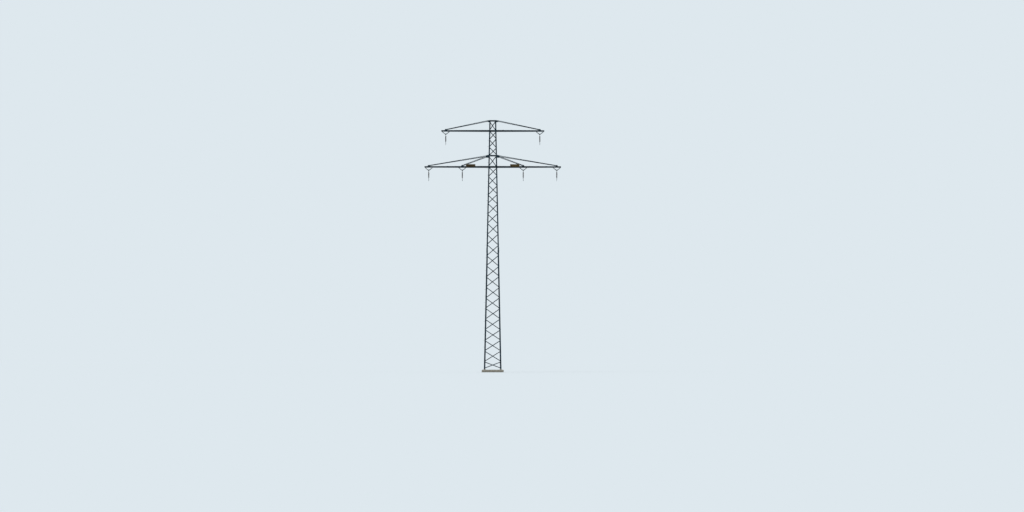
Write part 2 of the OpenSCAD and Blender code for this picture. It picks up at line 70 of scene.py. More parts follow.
# Setting-out of the joints, as the part's source has it too
seat = 0.0002  # between bolted pieces
tie_gap, foot_gap = 0.0013, 0.0015  # behind a tie at its root and at its foot
gauge = 0.085  # bolt line of the bracing, from the corner of a leg
bolt_edge, cope = 0.025, 0.108  # end of a bar past its bolt, and its flange's setback
pair = sqrt(bolt_edge ** 2 + (brace_w / 2) ** 2) + 0.001  # half spacing of two bars
pair_wide = pair + brace_w / 2 + 0.001  # the same with a horizontal between them
lace_pitch, lace_pair = 0.500, lace_w / 2 + 0.006
arm_straight, tip_w = 0.060, 0.430  # crossarm: straight past the legs, width at its tip
tie_rise, tie_root, foot_shift = 0.150, 1.350, 0.010
hang_spread, hang_drop = 0.430, 0.450
short_panel_h, mid_panel_h = 1.100, 1.190
head_panels, short_panels, mid_panels, tall_panels = 3, 4, 2, 14

# Heights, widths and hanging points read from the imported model
low_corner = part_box("leg_lower_front_left")[0]
splice_corner, top_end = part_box("leg_upper_front_left")
block_low, block_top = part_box("foundation_block")
mast_h = top_end.z
splice_z = splice_corner.z
block_h = block_top.z
block_w = block_top.x - block_low.x
lean = atan((splice_corner.x - low_corner.x) / (splice_z - low_corner.z))
upper_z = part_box("upper_arm_right")[0].z + chan_h / 2
lower_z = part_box("lower_arm_right")[0].z + chan_h / 2
upper_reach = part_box("upper_arm_right")[1].x
lower_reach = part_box("lower_arm_right")[1].x
pins = {joint["child"]: joint["pos_m"] for joint in frame["joints"]}
hang_upper = pins["string_upper_right"][0]
hang_inner = pins["string_inner_right"][0]
hang_outer = pins["string_outer_right"][0]

# Levels of the joints, from the top down
tie_z = lower_z + tie_root
short_z = lower_z - short_panels * short_panel_h
mid_z = short_z - mid_panels * mid_panel_h
top_z = mast_h - brace_w / 2 - 0.005
levels = np.concatenate([
    [top_z],
    np.linspace(upper_z, tie_z, head_panels + 1),
    np.linspace(lower_z, short_z, short_panels + 1),
    np.linspace(short_z, mid_z, mid_panels + 1)[1:],
    np.linspace(mid_z, 0, tall_panels + 1)[1:-1],
    [block_h + pair + brace_w]])
frame_levels = (top_z, upper_z, tie_z, lower_z)
root_plate_z = tie_z - 0.070
board_foot = lower_z + chan_h / 2
# Ties: level of the root plate, root outwards and up from there, and hanging point
upper_tie = (top_z - 0.015, 0.200, 0.0, hang_upper, upper_z)
inner_tie = (tie_z, 0.230, -0.125, hang_inner, lower_z)
outer_tie = (tie_z, 0.270, -0.055, hang_outer, lower_z)

m10, m12, m16, m20, m22 = 0.010, 0.012, 0.016, 0.020, 0.022  # bolts
upside_down = ((1, 0, 0), (0, -1, 0), (0, 0, -1))


def half(z):
    """Half width of the mast over its legs at height z, a straight line in z."""
    return -low_corner.x - (z - low_corner.z) * tan(lean)


def on_side(k, points):
    """Points of side k, given as x to the right, y inwards and z up the leaning
    face, turned about X by the lean and about Z by k quarter turns."""
    x, y, z = np.moveaxis(np.asarray(points, float), -1, 0)
    out = y * cos(lean) + z * sin(lean) - half(0)
    rise = z * cos(lean) - y * sin(lean)
    c, s = round(cos(k * pi / 2)), round(sin(k * pi / 2))
    return np.stack([c * x - s * out, s * x + c * out, rise], -1)


def arm_y(x, z, reach):
    """Half width of a crossarm to its webs: straight at the mast, then drawn in to
    the tip in proportion to the distance past the bend."""
    root, bend = half(z - chan_h / 2) + seat, half(z) + arm_straight
    share = np.clip((np.asarray(x, float) - bend) / (reach - bend), 0, 1)
    return root + share * (tip_w / 2 - root)


# Mesh parts are (points, loops, sizes): corner indices face after face, and the
# number of corners of each face

def loft(rings, closed=False):
    """Skin over rings of equal point counts: corner (i, j) joins (i, j+1),
    (i+1, j+1) and (i+1, j), with j taken round. The end rings are faces, or the
    last ring joins the first."""
    rings = np.asarray(rings, float)
    m, n = rings.shape[:2]
    i = np.arange(m if closed else m - 1)[:, None]
    j = np.arange(n)[None, :]
    near, far = i * n, (i + 1) % m * n
    quads = np.stack([near + j, near + (j + 1) % n, far + (j + 1) % n, far + j], -1)
    loops, sizes = quads.reshape(-1), np.full(len(i) * n, 4)
    if not closed:
        loops = np.concatenate([loops, np.arange(n)[::-1], (m - 1) * n + np.arange(n)])
        sizes = np.append(sizes, [n, n])
    return rings.reshape(-1, 3), loops, sizes


def revolve(profile, count, closed=False):
    """Profile of (radius, height) turned about Z: (r cos a, r sin a, h), with the
    angle a in even steps. A closed profile gives a ring."""
    r, h = np.asarray(profile, float).T
    a = np.arange(count) * 2 * pi / count
    return loft(np.stack([r[:, None] * np.cos(a), r[:, None] * np.sin(a),
                          h[:, None] + 0 * a], -1), closed)


def rounded(corners, cut, steps, closed=False):
    """Polyline whose corners give way to parabolas: with p and q at the cut's
    distance before and after corner c, the point is (1-t)²p + 2t(1-t)c + t²q."""
    c = np.asarray(corners, float)
    before, after = np.roll(c, 1, 0) - c, np.roll(c, -1, 0) - c
    cut = np.broadcast_to(np.asarray(cut, float), len(c))[:, None]
    p = c + before * cut / np.linalg.norm(before, axis=1, keepdims=True)
    q = c + after * cut / np.linalg.norm(after, axis=1, keepdims=True)
    t = np.linspace(0, 1, steps)[None, :, None]
    bent = (1 - t) ** 2 * p[:, None] + 2 * t * (1 - t) * c[:, None] + t ** 2 * q[:, None]
    if closed:
        return bent.reshape(-1, c.shape[1])
    return np.concatenate([c[:1], bent[1:-1].reshape(-1, c.shape[1]), c[-1:]])


def sweep(path, section, side):
    """Section carried along a path: at each point it is laid out along `side` and
    along the cross product of the path's direction with `side`."""
    path, section = np.asarray(path, float), np.asarray(section, float)
    along = np.gradient(path, axis=0)
    along /= np.linalg.norm(along, axis=1, keepdims=True)
    u = np.broadcast_to(np.asarray(side, float), path.shape)
    v = np.cross(along, u)
    v /= np.linalg.norm(v, axis=1, keepdims=True)
    across, out = section[None, :, :1] * u[:, None], section[None, :, 1:] * v[:, None]
    return loft(path[:, None] + across + out)


def circle(radius, count):
    """Points of a circle, (r cos a, r sin a)."""
    a = np.arange(count) * 2 * pi / count
    return radius * np.stack([np.cos(a), np.sin(a)], -1)


def flat_bar(width, thickness):
    """Section of a flat bar, its corners rounded by 1 mm."""
    a, b = width / 2, thickness / 2
    return rounded([[-a, -b], [a, -b], [a, b], [-a, b]], 0.001, 2, closed=True)


def oval(a, b, power, count):
    """Closed curve between an ellipse and its box: half widths a and b times
    (cos t, sin t) / (|cos t|^p + |sin t|^p)^(1/p), with t closer at the corners."""
    t = np.arange(count) * 2 * pi / count
    t = t + 0.9 * (1 - 2 / power) * np.sin(4 * t) / 4
    way = np.stack([np.cos(t), np.sin(t)], -1)
    return way * (a, b) / ((np.abs(way) ** power).sum(-1, keepdims=True)) ** (1 / power)


def join(*parts):
    """One part from several, the corner indices shifted by the points before them."""
    shifts = np.cumsum([0] + [len(part[0]) for part in parts[:-1]])
    return (np.concatenate([part[0] for part in parts]),
            np.concatenate([part[1] + shift for part, shift in zip(parts, shifts)]),
            np.concatenate([part[2] for part in parts]))


def moved(part, shift=(0, 0, 0), axes=((1, 0, 0), (0, 1, 0), (0, 0, 1))):
    """The part with its X, Y and Z laid along the given axes, then shifted."""
    return part[0] @ np.asarray(axes, float) + np.asarray(shift, float), part[1], part[2]


def repeated(part, places, axes):
    """Copies of a part: copy k has its Z along axes[k] and its origin at places[k],
    turned about that axis by an uneven angle, as bolts are when tightened."""
    places = np.asarray(places, float).reshape(-1, 3)
    w = np.broadcast_to(np.asarray(axes, float), places.shape)
    w = w / np.linalg.norm(w, axis=1, keepdims=True)
    level = np.where(np.abs(w[:, 2:]) < 0.9, [[0.0, 0.0, 1.0]], [[1.0, 0.0, 0.0]])
    u = np.cross(level, w)
    u /= np.linalg.norm(u, axis=1, keepdims=True)
    v = np.cross(w, u)
    a = (np.arange(len(places)) * 2.399)[:, None]
    turned = np.stack([np.cos(a) * u + np.sin(a) * v, np.cos(a) * v - np.sin(a) * u, w], 1)
    points = np.einsum("pi,kij->kpj", part[0], turned) + places[:, None]
    shifts = np.arange(len(places))[:, None] * len(part[0])
    return points.reshape(-1, 3), (part[1] + shifts).reshape(-1), np.tile(part[2], len(places))


def piece(name, part, material, body, smooth=None, replaces=()):
    """Object of that mesh part at the origin, riding on a body. Its faces are flat,
    or smooth up to edges sharper than the angle `smooth` in degrees."""
    points, loops, sizes = part
    mesh = bpy.data.meshes.new(name)
    mesh.vertices.add(len(points))
    mesh.vertices.foreach_set("co", points.astype(np.float32).ravel())
    mesh.loops.add(len(loops))
    mesh.loops.foreach_set("vertex_index", loops.astype(np.int32))
    mesh.polygons.add(len(sizes))
    mesh.polygons.foreach_set("loop_start", (np.cumsum(sizes) - sizes).astype(np.int32))
    mesh.update(calc_edges=True)
    mesh.validate()
    mesh.materials.append(material)
    obj = bpy.data.objects.new(name, mesh)
    scene.collection.objects.link(obj)
    if smooth is not None:
        mesh.shade_smooth()
        mesh.set_sharp_from_angle(angle=radians(smooth))
    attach(obj, body)
    if replaces:
        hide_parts(*replaces)


# Finishes

def colour(code):
    """Linear colour from an sRGB hex value."""
    c = np.array([int(code[i:i + 2], 16) for i in (1, 3, 5)]) / 255
    linear = np.where(c <= 0.04045, c / 12.92, ((c + 0.055) / 1.055) ** 2.4)
    return (*linear.tolist(), 1.0)


def per_mm(size):
    """Pattern scale on metres for features of that many millimetres."""
    return 1000.0 / size


def add(tree, kind, settings={}, links={}):
    """Adds a node: settings are attributes, input values or ramp stops as
    (position, hex colour), and links are sockets that feed its inputs."""
    node = tree.nodes.new("ShaderNode" + kind)
    for key, value in settings.items():
        if key == "stops":
            ramp = node.color_ramp
            while len(ramp.elements) < len(value):
                ramp.elements.new(0.5)
            for element, (place, code) in zip(ramp.elements, value):
                element.position = place
                element.color = colour(code)
        elif isinstance(key, int) or key in node.inputs:
            node.inputs[key].default_value = value
        else:
            setattr(node, key, value)
    for key, socket in links.items():
        tree.links.new(socket, node.inputs[key])
    return node


def finish(name):
    """New material with its node tree and the Object coordinates of what it is on."""
    material = bpy.data.materials.new(name)
    material.use_nodes = True
    tree = material.node_tree
    tree.nodes.clear()
    return material, tree, add(tree, "TexCoord").outputs["Object"]


def painted_angles():
    """Alkyd paint on hot-rolled steel: a dark blue-green grey, satin where it is
    sound, chalked in broad patches and in runs down the members, thin on the edges."""
    material, tree, place = finish("weathered_steel_paint")
    patches = add(tree, "TexNoise", {"Scale": per_mm(900), "Detail": 4.0, "Roughness": 0.6},
                  {"Vector": place})
    drawn = add(tree, "Mapping", {"Scale": (1.0, 1.0, 0.06)}, {"Vector": place})
    runs = add(tree, "TexNoise", {"Scale": per_mm(45), "Detail": 5.0, "Roughness": 0.65},
               {"Vector": drawn.outputs[0]})
    grain = add(tree, "TexNoise", {"Scale": per_mm(7), "Detail": 3.0}, {"Vector": place})
    both = add(tree, "Math", {"operation": "MULTIPLY_ADD", 1: 0.55, 2: 0.0},
               {0: patches.outputs["Fac"]})
    tone = add(tree, "Math", {"operation": "MULTIPLY_ADD", 1: 0.45},
               {0: runs.outputs["Fac"], 2: both.outputs[0]})
    paint = add(tree, "ValToRGB", {"stops": [(0.36, "#07141b"), (0.48, "#0c212c"),
                                             (0.58, "#142f3b"), (0.70, "#2a4650")]},
                {"Fac": tone.outputs[0]})
    round_edge = add(tree, "Bevel", {"samples": 4, "Radius": 0.004})
    flat = add(tree, "NewGeometry")
    facing = add(tree, "VectorMath", {"operation": "DOT_PRODUCT"},
                 {0: round_edge.outputs[0], 1: flat.outputs["Normal"]})
    edge = add(tree, "MapRange", {"From Min": 0.985, "From Max": 0.80},
               {"Value": facing.outputs["Value"]})
    worn = add(tree, "Math", {"operation": "MULTIPLY", "use_clamp": True},
               {0: edge.outputs[0], 1: grain.outputs["Fac"]})
    shade = add(tree, "Mix", {"data_type": "RGBA", 7: colour("#5b6766")},
                {0: worn.outputs[0], 6: paint.outputs["Color"]})
    rough = add(tree, "MapRange", {"From Min": 0.35, "From Max": 0.7,
                                   "To Min": 0.40, "To Max": 0.66}, {"Value": tone.outputs[0]})
    bump = add(tree, "Bump", {"Strength": 0.35, "Distance": 0.0006},
               {"Height": grain.outputs["Fac"], "Normal": round_edge.outputs[0]})
    shader = add(tree, "BsdfPrincipled", {"Metallic": 0.0, "IOR": 1.5, "Specular IOR Level": 0.16},
                 {"Base Color": shade.outputs[2], "Roughness": rough.outputs[0],
                  "Normal": bump.outputs[0]})
    add(tree, "OutputMaterial", links={"Surface": shader.outputs[0]})
    return material


def plain_steel(name, dark, light, metal, spangle_mm):
    """Hot-dip zinc that has gone dull: cloudy greys over faint crystals of some
    millimetres, with a soft, broken shine."""
    material, tree, place = finish(name)
    spangle = add(tree, "TexVoronoi", {"Scale": per_mm(spangle_mm)}, {"Vector": place})
    cloud = add(tree, "TexNoise", {"Scale": per_mm(60), "Detail": 5.0, "Roughness": 0.6},
                {"Vector": place})
    crystal = add(tree, "SeparateColor", links={0: spangle.outputs["Color"]})
    tone = add(tree, "Math", {"operation": "MULTIPLY_ADD", 1: 0.1},
               {0: crystal.outputs[0], 2: cloud.outputs["Fac"]})
    zinc = add(tree, "ValToRGB", {"stops": [(0.34, dark), (0.76, light)]},
               {"Fac": tone.outputs[0]})
    rough = add(tree, "MapRange", {"From Min": 0.3, "From Max": 1.0,
                                   "To Min": 0.62, "To Max": 0.42}, {"Value": tone.outputs[0]})
    bump = add(tree, "Bump", {"Strength": 0.25, "Distance": 0.0004},
               {"Height": cloud.outputs["Fac"]})
    shader = add(tree, "BsdfPrincipled", {"Metallic": metal},
                 {"Base Color": zinc.outputs["Color"], "Roughness": rough.outputs[0],
                  "Normal": bump.outputs[0]})
    add(tree, "OutputMaterial", links={"Surface": shader.outputs[0]})
    return material


def brown_glaze():
    """Electrical porcelain dipped in brown glaze: glassy, nearly black where it
    pools and redder where it runs thin, with a dull film of dust in places."""
    material, tree, place = finish("brown_glazed_porcelain")
    pool = add(tree, "TexNoise", {"Scale": per_mm(70), "Detail": 3.0}, {"Vector": place})
    dust = add(tree, "TexNoise", {"Scale": per_mm(25), "Detail": 6.0, "Roughness": 0.7},
               {"Vector": place})
    glaze = add(tree, "ValToRGB", {"stops": [(0.35, "#1b0c07"), (0.55, "#2d140b"),
                                             (0.72, "#432013")]}, {"Fac": pool.outputs["Fac"]})
    rough = add(tree, "MapRange", {"From Min": 0.45, "From Max": 0.75,
                                   "To Min": 0.10, "To Max": 0.34}, {"Value": dust.outputs["Fac"]})
    shader = add(tree, "BsdfPrincipled", {"Metallic": 0.0, "IOR": 1.52},
                 {"Base Color": glaze.outputs["Color"], "Roughness": rough.outputs[0]})
    add(tree, "OutputMaterial", links={"Surface": shader.outputs[0]})
    return material


def cast_concrete(name, pale, dark, board_mm):
    """Concrete cast against rough boards: matt grey with dark and pale sand grain and
    air pores, level joints from the boards, rain streaks down its sides and damp,
    darker concrete towards the ground."""
    material, tree, place = finish(name)
    cloud = add(tree, "TexNoise", {"Scale": per_mm(260), "Detail": 8.0, "Roughness": 0.68},
                {"Vector": place})
    sand = add(tree, "TexNoise", {"Scale": per_mm(6), "Detail": 3.0, "Roughness": 0.7},
               {"Vector": place})
    drawn = add(tree, "Mapping", {"Scale": (1.0, 1.0, 0.10)}, {"Vector": place})
    streak = add(tree, "TexNoise", {"Scale": per_mm(55), "Detail": 4.0, "Roughness": 0.6},
                 {"Vector": drawn.outputs[0]})
    pores = add(tree, "TexVoronoi", {"Scale": per_mm(34)}, {"Vector": place})
    pit = add(tree, "MapRange", {"From Min": 0.07, "From Max": 0.15},
              {"Value": pores.outputs["Distance"]})
    height = add(tree, "SeparateXYZ", links={0: place})
    damp = add(tree, "MapRange", {"From Max": 0.14, "To Min": 0.16, "To Max": 0.0},
               {"Value": height.outputs["Z"]})
    board = add(tree, "Math", {"operation": "PINGPONG", 1: board_mm / 2000},
                {0: height.outputs["Z"]})
    joint = add(tree, "MapRange", {"From Max": 0.003}, {"Value": board.outputs[0]})
    relief = add(tree, "Math", {"operation": "MULTIPLY"}, {0: pit.outputs[0], 1: joint.outputs[0]})
    broad = add(tree, "Math", {"operation": "MULTIPLY", 1: 0.55}, {0: cloud.outputs["Fac"]})
    grains = add(tree, "Math", {"operation": "MULTIPLY_ADD", 1: 0.35},
                 {0: sand.outputs["Fac"], 2: broad.outputs[0]})
    weather = add(tree, "Math", {"operation": "MULTIPLY_ADD", 1: 0.25},
                  {0: streak.outputs["Fac"], 2: grains.outputs[0]})
    cast = add(tree, "Math", {"operation": "MULTIPLY_ADD", 1: 0.12},
               {0: relief.outputs[0], 2: weather.outputs[0]})
    wet = add(tree, "Math", {"operation": "SUBTRACT"}, {0: cast.outputs[0], 1: damp.outputs[0]})
    face = add(tree, "ValToRGB", {"stops": [(0.52, dark), (0.69, "#827f75"), (0.84, pale)]},
               {"Fac": wet.outputs[0]})
    both = add(tree, "Math", {"operation": "MULTIPLY_ADD", 1: 0.3},
               {0: sand.outputs["Fac"], 2: relief.outputs[0]})
    bump = add(tree, "Bump", {"Strength": 0.7, "Distance": 0.0025}, {"Height": both.outputs[0]})
    shader = add(tree, "BsdfPrincipled", {"Roughness": 0.88, "Metallic": 0.0},
                 {"Base Color": face.outputs["Color"], "Normal": bump.outputs[0]})
    add(tree, "OutputMaterial", links={"Surface": shader.outputs[0]})
    return material


def brown_enamel():
    """Stoved enamel on folded sheet: an even olive brown with a soft gloss, a painted
    highlight that lightens it along its upper part, and dulled by rain marks."""
    material, tree, place = finish("brown_enamelled_sheet")
    drawn = add(tree, "Mapping", {"Scale": (1.0, 1.0, 0.08)}, {"Vector": place})
    rain = add(tree, "TexNoise", {"Scale": per_mm(30), "Detail": 5.0, "Roughness": 0.65},
               {"Vector": drawn.outputs[0]})
    fade = add(tree, "TexNoise", {"Scale": per_mm(350), "Detail": 2.0}, {"Vector": place})
    tone = add(tree, "Math", {"operation": "MULTIPLY_ADD", 1: 0.22},
               {0: rain.outputs["Fac"], 2: fade.outputs["Fac"]})
    height = add(tree, "SeparateXYZ", links={0: place})
    # painted highlight: the brown is made lighter towards the board's upper edge
    painted_top_highlight = add(tree, "MapRange", {"From Min": board_foot, "From Max": board_foot + 0.22,
                                      "To Max": 0.16}, {"Value": height.outputs["Z"]})
    # random tone and rain marks, plus the painted highlight along the top
    rain_marks_and_highlight = add(tree, "Math", {"operation": "ADD"}, {0: tone.outputs[0], 1: painted_top_highlight.outputs[0]})
    enamel = add(tree, "ValToRGB", {"stops": [(0.42, "#251d0b"), (0.64, "#33280f"),
                                              (0.86, "#493c1e")]}, {"Fac": rain_marks_and_highlight.outputs[0]})
    rough = add(tree, "MapRange", {"From Min": 0.3, "From Max": 0.7,
                                   "To Min": 0.28, "To Max": 0.48}, {"Value": rain.outputs["Fac"]})
    bump = add(tree, "Bump", {"Strength": 0.12, "Distance": 0.0008},
               {"Height": fade.outputs["Fac"]})
    shader = add(tree, "BsdfPrincipled", {"Metallic": 0.0, "IOR": 1.5, "Specular IOR Level": 0.2},
                 {"Base Color": enamel.outputs["Color"], "Roughness": rough.outputs[0],
                  "Normal": bump.outputs[0]})
    add(tree, "OutputMaterial", links={"Surface": shader.outputs[0]})
    return material


paint = painted_angles()
zinc = plain_steel("dull_galvanised_steel", "#32383b", "#5a6164", 0.6, 11)
painted_zinc = plain_steel("overpainted_bolts", "#222f34", "#46555a", 0.25, 8)
glaze = brown_glaze()
concrete = cast_concrete("board_cast_concrete", "#a3a095", "#615f56", 100)
mortar = cast_concrete("cement_mortar", "#a3a094", "#69675d", 400)
enamel = brown_enamel()

by_slot = {"concrete": concrete, "painted_steel": paint, "galvanised_steel": zinc,
           "porcelain": glaze, "board_enamel": enamel}
for part in frame["record"]["subparts"]:
    mesh = frame["nodes"][part["node"]].data
    mesh.materials.clear()
    mesh.materials.append(by_slot[part["material_slot"]])


# Bolts

def prism(across_flats, bottom, top, chamfer):
    """Hexagon from one height to another, its corners cut back at the top."""
    r = across_flats / sqrt(3)
    hexagon = circle(1.0, 6)
    sizes = [(r, bottom), (r, top - chamfer), (r - 1.4 * chamfer, top)]
    return loft([np.column_stack([hexagon * size, np.full(6, z)]) for size, z in sizes])


def bolt(d, grip):
    """Bolt along Z with its head over z = 0 and its nut under z = -grip: a head of
    0.63 d, washers of 1.84 d, a nut of 0.8 d and a stub of thread."""
    washer_t = 0.16 * d
    disc = np.array([(0.92 * d, -0.0005), (0.92 * d, washer_t)])
    head = prism(1.5 * d, washer_t, washer_t + 0.63 * d, 0.10 * d)
    nut = prism(1.5 * d, washer_t, washer_t + 0.80 * d, 0.10 * d)
    stub = revolve([(0.5 * d, washer_t), (0.5 * d, washer_t + 1.05 * d),
                    (0.42 * d, washer_t + 1.12 * d)], 8)
    under = join(revolve(disc, 12), nut, stub)
    return join(revolve(disc, 12), head, moved(under, (0, 0, -grip), upside_down))


def mirrored(points):
    """The points and their mirror images across x = 0."""
    return np.concatenate([points, points * (-1, 1, 1)])


def outward(count):
    """Outward directions of the four sides, each repeated for its points."""
    faces = [on_side(k, [0, -1, 0]) - on_side(k, [0, 0, 0]) for k in range(4)]
    return np.repeat(faces, count, axis=0)


def bracing_bolts(low):
    """A bolt at both ends of every diagonal: a joint's height, less or plus the half
    spacing of the two bars that meet there, on the bolt line of the leg. In front
    and behind, those at the roots of the ties go through the root plates too."""
    framed = np.abs(levels[:, None] - frame_levels).min(1) < 0.001
    gap = np.where(framed, pair_wide, pair)
    over, under = (levels - gap)[:-1], (levels + gap)[1:]
    rise = np.where(np.arange(len(over)) % 2 == 0, 1, -1)
    z = np.concatenate([over, under])
    x = np.concatenate([rise, -rise]) * (half(z) - gauge)
    own = (z < splice_z) == low
    z, x = z[own], x[own]
    plated = (z > top_z - 0.12) | (np.abs(z - root_plate_z) < 0.13)
    stand = np.stack([np.where(plated & (k % 2 == 0), gusset_t + seat, 0) for k in range(4)])
    places = [on_side(k, np.column_stack([x, -stand[k], z / cos(lean)])) for k in range(4)]
    grip = (leg_low_t if low else leg_top_t) + brace_t + seat
    return repeated(bolt(m20, grip), np.concatenate(places), outward(len(z)))


def splice_bolts():
    """Two columns of bolts on each cover plate, four to each side of the joint."""
    column = half(splice_z) - leg_top_w / 2 - 0.004 + np.array([-0.030, 0.030])
    row = np.array([-0.245, -0.185, -0.120, -0.055, 0.055, 0.120, 0.185, 0.245])
    x, z = [grid.ravel() for grid in np.meshgrid(column, splice_z + row)]
    flat = mirrored(np.column_stack([x, 0 * x - splice_t - seat, z / cos(lean)]))
    places = np.concatenate([on_side(k, flat) for k in range(4)])
    return repeated(bolt(m20, splice_t + leg_low_t + seat), places, outward(len(flat)))


def frame_bolts():
    """A bolt at both ends of each horizontal, on the legs' bolt line. Where ties
    start it goes through their root plate too. In front and behind, the crossarms'
    channels stand in for horizontals at their levels."""
    places, axes = [], []
    for z in frame_levels:
        rooted = z in (top_z, tie_z)
        for k in range(4):
            if k % 2 == 0 and not rooted:
                continue
            stand = gusset_t + seat if k % 2 == 0 else 0
            ends = mirrored(np.array([[half(z) - gauge, -stand, z / cos(lean)]]))
            places.append(on_side(k, ends))
            axes.append(outward(2)[2 * k:2 * k + 2])
    return repeated(bolt(m20, leg_top_t + brace_t), np.concatenate(places),
                    np.concatenate(axes))


def plan_bolts():
    """A bolt at both ends of the plan diagonals, through the side horizontals."""
    ends = []
    for z in (upper_z, lower_z):
        x = half(z) - leg_top_t - brace_w / 2
        y = half(z) - gauge - cope - brace_w / 2
        inset = 1 - 0.022 / np.hypot(x, y)
        ends += [[x * inset, y * inset, z], [-x * inset, -y * inset, z]]
    top = np.array(ends) + (0, 0, brace_t - brace_w / 2 - 0.002 + lace_t)
    return repeated(bolt(m16, lace_t + brace_t), top, (0, 0, 1))


def leg_bolts():
    """Four bolts through a channel's web and each leg, and three pairs to each side
    of the joint between the left and right channels."""
    plate_end = half(upper_z) - leg_top_w - 0.020
    through, joined = [], []
    for z in (upper_z, lower_z):
        y = -half(z - chan_h / 2) - seat - chan_web
        for points, columns, rows in (
                (through, half(z) - np.array([0.048, 0.108]), (-0.027, 0.027)),
                (joined, np.linspace(0.045, plate_end - 0.045, 3), (-0.024, 0.024))):
            x, dz = [grid.ravel() for grid in np.meshgrid(columns, rows)]
            points.append(np.column_stack([x, 0 * x + y, z + dz]))
    parts = []
    for points, template in ((through, bolt(m20, chan_web + leg_top_t)),
                             (joined, bolt(m16, chan_web + gusset_t))):
        front = mirrored(np.concatenate(points))
        parts.append(repeated(template, front, (0, -1, 0)))
        parts.append(repeated(template, front * (1, -1, 1), (0, 1, 0)))
    return join(*parts)


def lace_joints(z, reach, hangs):
    """Joints of the lacing: each bay between the bend, the hangers and the tip is
    cut into equal lengths near the pitch, with a joint at the middle of each."""
    ends = [half(z) + arm_straight, *hangs, reach]
    bays = []
    for start, stop in zip(ends[:-1], ends[1:]):
        count = max(1, round((stop - start) / lace_pitch))
        bays.append(start + (np.arange(count) + 0.5) * (stop - start) / count)
    return np.concatenate(bays)


def tie_slope(tie):
    """Rise over run of a tie from its root to its foot, negative outwards."""
    level, out, up, hang, z = tie
    return (z + tie_rise - level - up) / (hang + foot_shift - half(level) - out)


def arm_bolts(z, reach, ties, side):
    """Bolts of one crossarm: the ends of its lacing, four through each tie gusset
    and two at the foot of each tie. The left arm mirrors the right one."""
    joints = lace_joints(z, reach, [tie[3] for tie in ties])
    sense = np.where(np.arange(len(joints) - 1) % 2 == 0, 1, -1)
    near, far = joints[:-1] + lace_pair, joints[1:] - lace_pair
    x = np.concatenate([near, far])
    y = np.concatenate([sense, -sense]) * (arm_y(x, z, reach) + chan_b / 2)
    lacing = np.column_stack([x, y, 0 * x + z + chan_h / 2 + seat + lace_t])
    webs, feet = [], []
    for tie in ties:
        x = tie[3] + np.array([-0.105, -0.045, 0.045, 0.105])
        webs.append(np.column_stack([x, -arm_y(x, z, reach) - chan_web, 0 * x + z - 0.010]))
        x = tie[3] + foot_shift - np.array([0.0, 0.046])
        feet.append(np.column_stack([x, -arm_y(x, z, reach) - tie_t - foot_gap,
                                     z + tie_rise + (x - x[0]) * tie_slope(tie)]))
    slope = np.diff(arm_y([reach / 2, reach / 2 + 1], z, reach))[0]
    out = np.array([-slope, -1, 0])
    flip, back = np.array([side, 1, 1]), np.array([1, -1, 1])
    parts = [repeated(bolt(m16, lace_t + chan_flange), lacing * flip, (0, 0, 1))]
    for rows, grip in ((webs, chan_web + gusset_t + seat), (feet, tie_t + gusset_t + foot_gap)):
        for turn in (1, back):
            parts.append(repeated(bolt(m16, grip), np.concatenate(rows) * flip * turn,
                                  out * flip * turn))
    return join(*parts)


def root_bolts():
    """Bolts of the root plates of the ties: through plate and leg beside the bolts of
    the bracing, and a pair through each tie and the plate's outer end."""
    top_marks = ((0.038, -0.088), (0.036, 0.026))
    tie_marks = ((0.040, -0.165), (0.112, -0.165), (0.036, -0.052), (0.036, 0.034))
    rows = []
    for level, marks in ((upper_tie[0], top_marks), (tie_z, tie_marks)):
        inward, rise = np.array(marks).T
        rows.append((leg_top_t, half(level) - inward, -gusset_t - seat,
                     level / cos(lean) + rise))
    for tie in (upper_tie, inner_tie, outer_tie):
        level, out, up = tie[:3]
        along = np.array([-0.006, 0.034]) / sqrt(1 + tie_slope(tie) ** 2)
        rows.append((tie_t + tie_gap, half(level) + out + along, -gusset_t - tie_t - tie_gap,
                     level / cos(lean) + up + along * tie_slope(tie)))
    parts = []
    for under, x, y, z in rows:
        places = mirrored(np.column_stack([x, 0 * x + y, z]))
        parts += [repeated(bolt(m16, gusset_t + under), on_side(k, places), outward(1)[k])
                  for k in (0, 2)]
    return join(*parts)


def hanger_bolts():
    """Bolts of the hangers: cross angles to the channels' lower flanges, and two
    through each sloping angle at the eye plate."""
    foot = np.array([0.040, 0.045 - hang_drop])
    head = np.array([hang_spread - 3 * hang_t, -chan_h / 2 - 0.7 * hang_w])
    slope = (head - foot) / np.linalg.norm(head - foot)
    upright, level = [], []
    for z, reach, hang in ((upper_z, upper_reach, hang_upper),
                           (lower_z, lower_reach, hang_inner),
                           (lower_z, lower_reach, hang_outer)):
        flange = z - chan_h / 2 + chan_flange
        for s in (-1, 1):
            x = hang + s * hang_spread - s * 0.040
            y = float(arm_y(x, z, reach)) + chan_b / 2
            upright += [[x, y, flange], [x, -y, flange]]
            for along in (0.012, 0.062):
                x, rise = foot + along * slope
                level.append([hang + s * x, -hang_t, z + rise])
    upright, level = mirrored(np.array(upright)), mirrored(np.array(level))
    return join(repeated(bolt(m16, chan_flange + hang_t), upright, (0, 0, 1)),
                repeated(bolt(m16, hang_t + eye_plate_t / 2), level, (0, -1, 0)))


